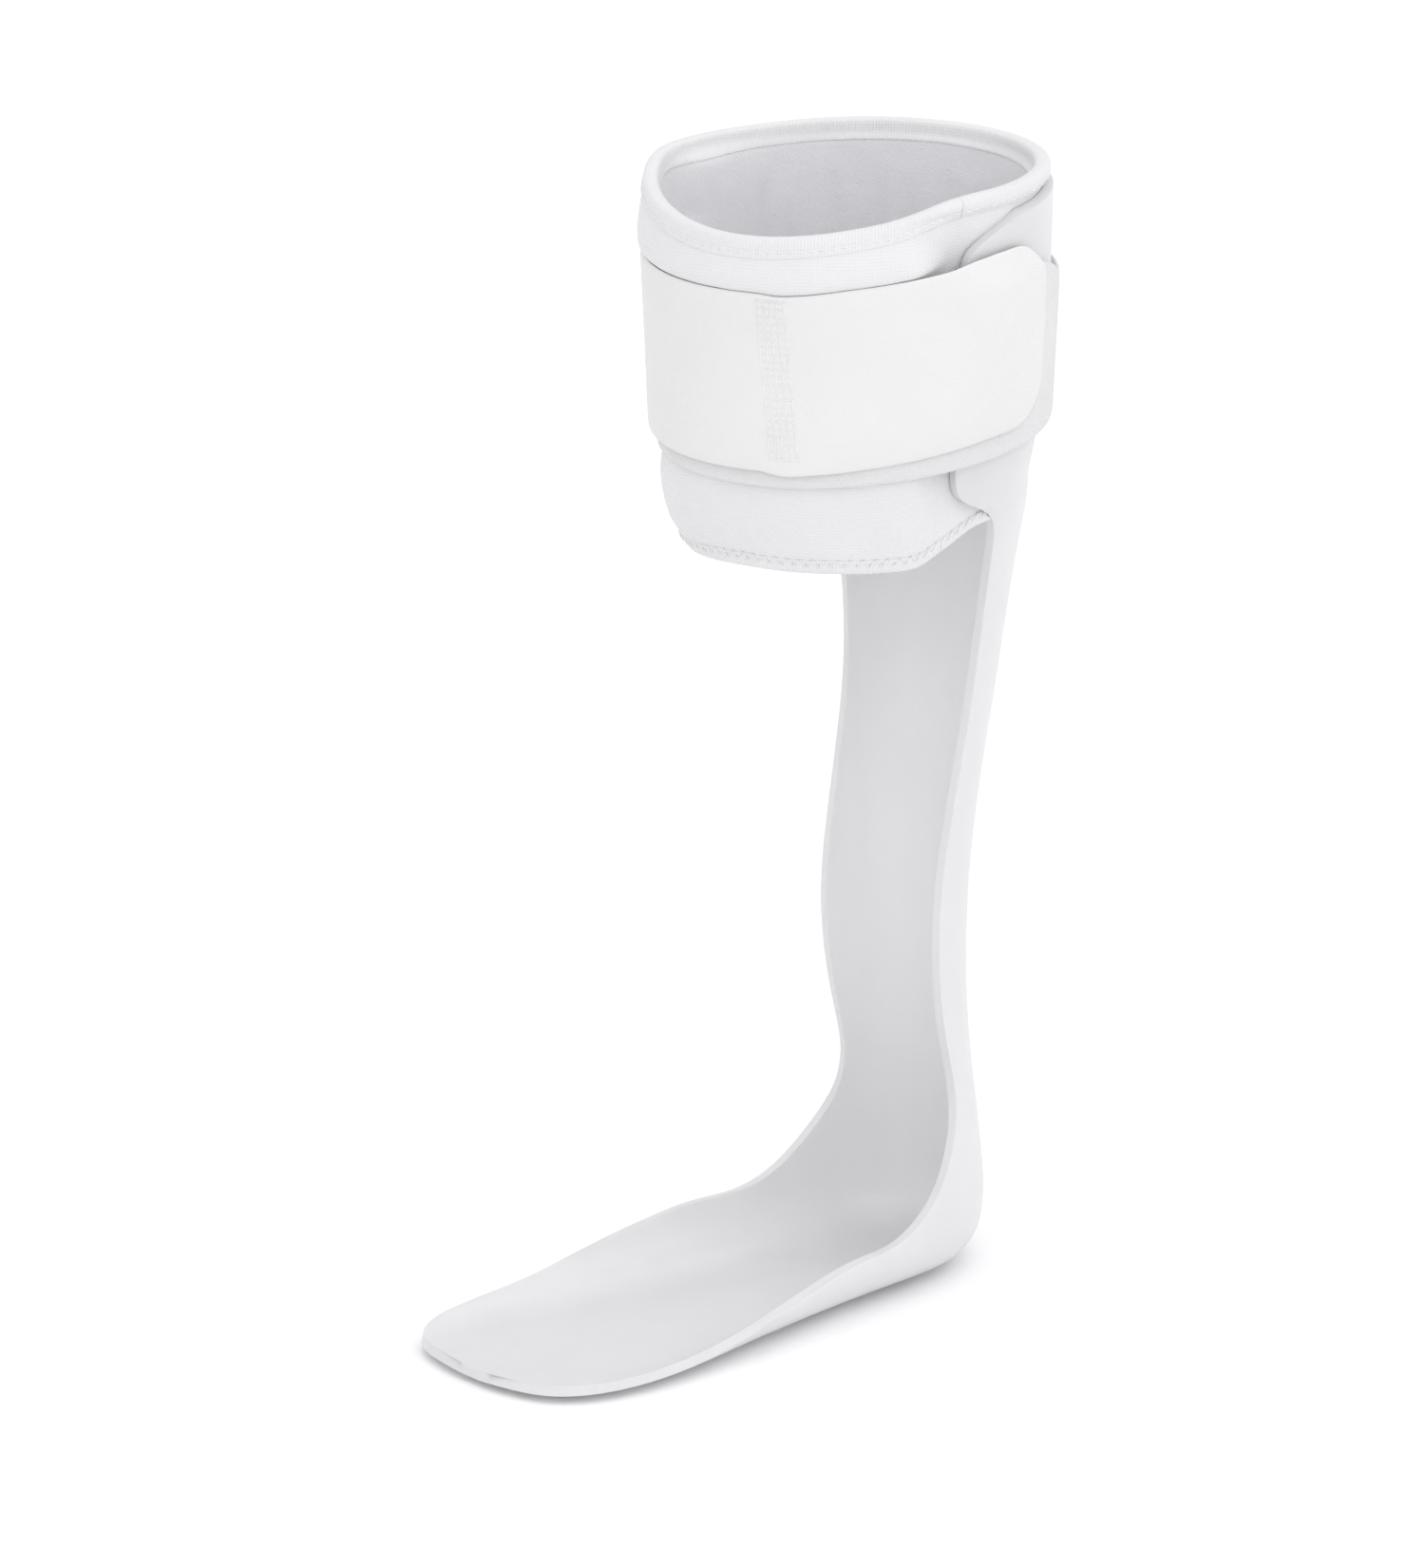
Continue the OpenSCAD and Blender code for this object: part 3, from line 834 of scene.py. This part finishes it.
STRETCHES = {"back": (0, HINGE_A), "fold": (HINGE_A, HINGE_B), "front": (HINGE_B, len(phis) - 1)}
made = {key: [] for key in STRETCHES}
for key, (first, last) in STRETCHES.items():
    for end, label in ((1, "top"), (0, "bottom")):
        made[key].append(binding(f"binding_{label}_{key}", end, first, last))
        normals = radial(phis[first : last + 1])
        thread = Thread()
        depth = 2.75 if end else 2.4
        line = [at(phis[i], *edge_line(i, end, depth, "out", 0.42)) for i in range(first, last + 1)]
        if end:
            thread.run(line, normals, 2.9, 2.1, 0.2)
        else:
            up = np.tile([0.0, 0.0, 1.0], (len(line), 1))
            thread.run(line, normals, 1.7, 1.7, 0.17, 0.95, up, 0.05)
        made[key].append(thread.build(f"stitch_{label}_{key}"))

# ---- Straps -----------------------------------------------------------------------------------

ACROSS = np.concatenate([[-1, -0.985], np.linspace(-0.95, 0.95, 15), [0.985, 1]])
EDGE_ROUND = 0.8


def strap_grid(angles, inside, thick, edges, wave, lift, trim):
    """A closed section at each angle: the outer face from edge to edge, then the inner face back."""
    grid = []
    for phi in angles:
        low, high = edges(phi, -1), edges(phi, 1)
        h = (high - low) / 2 - (trim(phi) if trim else 0.0)
        z = (low + high) / 2 + ACROSS * h
        r = pile_in(z) + inside + (lift(phi, z) if lift else 0.0)
        edge = np.clip((1 - np.abs(ACROSS)) * h / EDGE_ROUND, 0, 1) ** 0.5
        spots = [at(phi, *rz) for rz in zip(r, z)]
        bow = np.array([wave * ripple(p, 0.05, 20) + 0.35 * wave * ripple(p, 0.2, 4) for p in spots])
        bow = bow - bow.mean() * 0.3
        outside = np.stack([r + thick * (0.5 + 0.5 * edge) + bow, z], -1)
        back = np.stack([r + thick * (0.5 - 0.5 * edge) + bow, z], -1)
        grid.append(at(phi, *np.moveaxis(np.concatenate([outside, back[::-1]]), -1, 0)))
    return np.array(grid)


def strap(name, material, angles, inside, thick, edges,
          caps=False, wave=0.08, lift=None, trim=None, cut_at=None):
    """A flat band, `inside` off the pile band's inner face. `edges` gives its edges' heights, `lift`
    moves it out, `trim` narrows it, as at a rounded end, and `cut_at` closes an end flat."""
    grid = strap_grid(angles, inside, thick, edges, wave, lift, trim)
    obj = grid_object(name, grid, material, closed_v=True, caps=caps)
    soften(obj)
    if cut_at is not None:
        close_end(obj, cut_at)
    return obj


def span(a, b, pitch=2.0):
    """Evenly spaced angles, no further apart than the pitch."""
    return np.linspace(a, b, max(3, int(abs(b - a) / pitch) + 1))


def tab_trim(phi):
    """How much the tab's rounded corners take off each side."""
    a = math.degrees(TAB_CORNER / BAND_R)
    k = min(1.0, max(0.0, (phi - TAB_END + a) / a))
    return TAB_CORNER * (1 - math.sqrt(max(0.0, 1 - k * k * 0.999)))


def lean(phi, z):
    """Above the pile band the strap leans in, towards the plastic on both sides of the calf."""
    sides = smooth((phi - 344) / 12) + smooth((phi - 140) / 10) * (1 - smooth((phi - 196) / 12))
    return -2.3 * sides * smooth((z - strap_z(phi, 1) + PILE_DROP + 0.5) / 6)


def tab_lift(phi, z):
    """The tab's free margins press onto the pile, and its middle stands on the hook tape."""
    low_gap = (z - strap_edge(phi, -1) - tab_trim(phi)) / 6
    end_gap = math.radians(TAB_END - phi) * BAND_R / 7
    margin = 1 - smooth(np.minimum(low_gap, end_gap))
    return lean(phi, z) - 0.6 * margin * smooth((phi - 306) / 20)


def root_lift(phi, z):
    """The fixed end lies on the pile, and rises to the strap's own level by the fold."""
    return 0.5 * smooth((phi - 175) / 25) + lean(phi, z)


ROOT_OUT = BAND_T + ROOT_IN
ROOT_FROM = 148
HOOK_IN, HOOK_T = BAND_T + 0.32, 0.4
HOOK_BORDER = 7.5
PILE_FROM, PILE_TO = -7, 353
corner_angles = TAB_END - 14.5 * (1 - np.sin(np.linspace(0.06, 1, 14) * math.pi / 2))
tab_angles = np.concatenate([span(SEAM_TO, TAB_END - 16), corner_angles])
straps = {
    "calf": [
        strap("pile_back", M_PILE, span(PILE_FROM, HINGE_FROM), 0, BAND_T, pile_edge,
              wave=0.05, cut_at=PILE_FROM),
        strap("strap_root_visual", M_WEB, span(ROOT_FROM, HINGE_FROM), ROOT_OUT, STRAP_T,
              strap_edge, caps="first", lift=root_lift),
    ],
    "front_flap": [
        strap("pile_front", M_PILE, span(HINGE_TO, PILE_TO), 0, BAND_T, pile_edge,
              wave=0.05, cut_at=PILE_TO),
        strap("strap_shin", M_WEB, span(HINGE_TO, SEAM_FROM), TOP_IN, STRAP_T, strap_edge),
    ],
    "tab": [
        strap("strap_tab_visual", M_WEB, tab_angles, TOP_IN, STRAP_T, strap_edge,
              caps="last", lift=tab_lift, trim=tab_trim),
        strap("hook_patch", M_HOOK, span(SEAM + 14, TAB_END - 12), HOOK_IN, HOOK_T, strap_edge,
              caps=True, wave=0.02, trim=lambda phi: tab_trim(phi) + HOOK_BORDER),
    ],
}
fold_angles, seam_angles = span(HINGE_FROM, HINGE_TO), span(SEAM_FROM, SEAM_TO, 0.8)
pile_fold = strap("pile_fold", M_PILE, fold_angles, 0, BAND_T, pile_edge, wave=0.05)
strap_fold = strap("strap_fold", M_WEB, fold_angles, TOP_IN, STRAP_T, strap_edge, lift=lean)
seam_fold = strap("strap_seam", M_WEB, seam_angles, TOP_IN, STRAP_T, strap_edge)


def on_strap(phi, z, lift=0.0):
    """A point on the strap's outer face, raised by a lift."""
    return at(phi, pile_in(z) + TOP_IN + STRAP_T + lift, z)


# The seam's sewn grid leans a little, towards the tab at its lower end.
grid_thread = Thread()
GRID_TOP, GRID_LOW = STRAP_MID + 19.5, STRAP_MID - 24.5
GRID_FROM, GRID_LEAN = 292.6, 3.6
COLUMNS, COLUMN_PITCH = 5, 2.0
ROWS, ROW_PITCH = 22, 2.05


def grid_phi(column, z):
    return GRID_FROM + column * COLUMN_PITCH + GRID_LEAN * (GRID_TOP - z) / (GRID_TOP - GRID_LOW)


def sew_line(f, z, radius):
    points, up = on_strap(f, z, 0.02), radial(f)
    grid_thread.tube([(points[k], up[k]) for k in range(len(z))], radius)


for column in range(COLUMNS):
    z = np.linspace(GRID_TOP, GRID_LOW, 45)
    sew_line(grid_phi(column, z), z, 0.17)
for row in range(ROWS):
    z = np.full(9, GRID_TOP - 0.3 - row * ROW_PITCH)
    sew_line(grid_phi(np.linspace(-0.1, COLUMNS - 0.9, 9), z[0]), z, 0.15)
seam_grid = grid_thread.build("seam_grid")

# The strap's fixed end is sewn down in a box.
root_thread = Thread()
BOX_FROM, BOX_TO, BOX_IN = 150.3, 157.5, 2.8


def sew_root(phi, z):
    line = at(phi, pile_in(z) + ROOT_OUT + root_lift(phi, z) + STRAP_T, z)
    root_thread.run(line, radial(phi), 2.6, 1.9, 0.2, lift=0.06)


for phi in (BOX_FROM, BOX_TO):
    z = np.linspace(strap_edge(phi, -1) + BOX_IN, strap_edge(phi, 1) - BOX_IN, 40)
    sew_root(np.full(40, phi), z)
for side in (-1, 1):
    f = np.linspace(BOX_FROM, BOX_TO, 12)
    sew_root(f, strap_edge(f, side) - side * BOX_IN)
root_stitch = root_thread.build("stitch_root")

# ---- Where each piece rides ---------------------------------------------------------------------


def mid_point(phi, z=265.0, r=52.0):
    """A point half-way up the cuff, in metres."""
    return tuple(at(phi, r, z) * MM)


straps["calf"].append(root_stitch)
for body, objs in straps.items():
    for o in objs:
        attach(o, body)
fold_start, fold_end = mid_point(HINGE_FROM + 1.5), mid_point(HINGE_TO - 1.5)
for o in [pad_fold, pile_fold, strap_fold, *made["fold"]]:
    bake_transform(o)
for o in [pad_back, *made["back"]]:
    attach(o, "calf")
for o in [pad_front, *made["front"]]:
    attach(o, "front_flap")
for o in (seam_fold, seam_grid):
    mid_point(SEAM - 4, r=56)
    mid_point(SEAM + 4, r=56)
    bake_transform(o)
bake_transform(shell)

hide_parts("back_foam", "back_lining", "back_cover")
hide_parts("front_foam", "front_lining", "front_cover")
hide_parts("back_top_binding")
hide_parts("back_bottom_binding")
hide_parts("front_top_binding")
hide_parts("front_bottom_binding")
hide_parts("pile_band")
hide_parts("front_pile")
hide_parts("strap_root")
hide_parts("strap_front")
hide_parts("strap_tab")
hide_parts("tab_hooks")

for name, material in (("rivet_posts", M_METAL), ("rivet_caps", M_METAL), ("liner_hooks", M_HOOK)):
    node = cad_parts[name]
    node.data.materials.clear()
    node.data.materials.append(material)

# ---- Floor, light and camera --------------------------------------------------------------------

floor_mat = Nodes("floor")
cloudy = floor_mat.ramp(floor_mat.noise(3, 2), [(0.3, (0.93, 0.93, 0.935)), (0.7, (0.94, 0.94, 0.945))])
floor_mat.set(Base_Color=cloudy, Roughness=0.9)
FLOOR_HALF, FLOOR_Z = 9000, -0.4
corners = [(x * FLOOR_HALF, y * FLOOR_HALF, FLOOR_Z) for x, y in ((-1, -1), (1, -1), (1, 1), (-1, 1))]
floor = mesh_object("floor", corners, [(0, 1, 2, 3)], floor_mat.material)


def direction(az, el):
    """From the target towards an azimuth and an elevation; azimuth 0 lies on the toes' side."""
    a, e = math.radians(az), math.radians(el)
    return Vector((math.sin(a) * math.cos(e), -math.cos(a) * math.cos(e), math.sin(e)))


TARGET = Vector((0, -0.043, 0.1502))


def place(obj, az, el, dist):
    """Sets an object at a distance from the target, and turns it to face it."""
    back = direction(az, el)
    obj.location = TARGET + back * dist
    obj.rotation_mode = "QUATERNION"
    obj.rotation_quaternion = (-back).to_track_quat("-Z", "Y")
    bpy.context.scene.collection.objects.link(obj)


def area(name, az, el, dist, size, power, colour=(1, 1, 1)):
    data = bpy.data.lights.new(name, "AREA")
    data.shape = "SQUARE"
    data.size = size
    data.energy = power
    data.color = colour
    place(bpy.data.objects.new(name, data), az, el, dist)


area("key", 62, 38, 1.8, 1.1, 1.6)
area("fill", -20, 30, 2.0, 1.4, 0.12, (0.97, 0.96, 1.0))
area("top", 100, 78, 1.6, 1.2, 1.0)

world = bpy.data.worlds.new("studio")
world.use_nodes = True
sky = world.node_tree
way = sky.nodes.new("ShaderNodeVectorMath")
way.operation = "DOT_PRODUCT"
way.inputs[1].default_value = direction(85, 45)
glow = sky.nodes.new("ShaderNodeMapRange")
for socket, value in (("From Min", -1), ("From Max", 1), ("To Min", 0.66), ("To Max", 1.36)):
    glow.inputs[socket].default_value = value
sky.links.new(sky.nodes.new("ShaderNodeTexCoord").outputs["Generated"], way.inputs[0])
sky.links.new(way.outputs["Value"], glow.inputs["Value"])
sky.links.new(glow.outputs[0], sky.nodes["Background"].inputs["Strength"])
sky.nodes["Background"].inputs["Color"].default_value = (1.0, 0.995, 1.0, 1)
bpy.context.scene.world = world
bpy.context.scene.view_settings.view_transform = "Standard"

camera = bpy.data.cameras.new("camera")
camera.lens = 222.9
camera.sensor_width = 36
camera.clip_start, camera.clip_end = 0.05, 60
cam = bpy.data.objects.new("camera", camera)
place(cam, 48.3, 17.5, 2.6)
bpy.context.scene.camera = cam
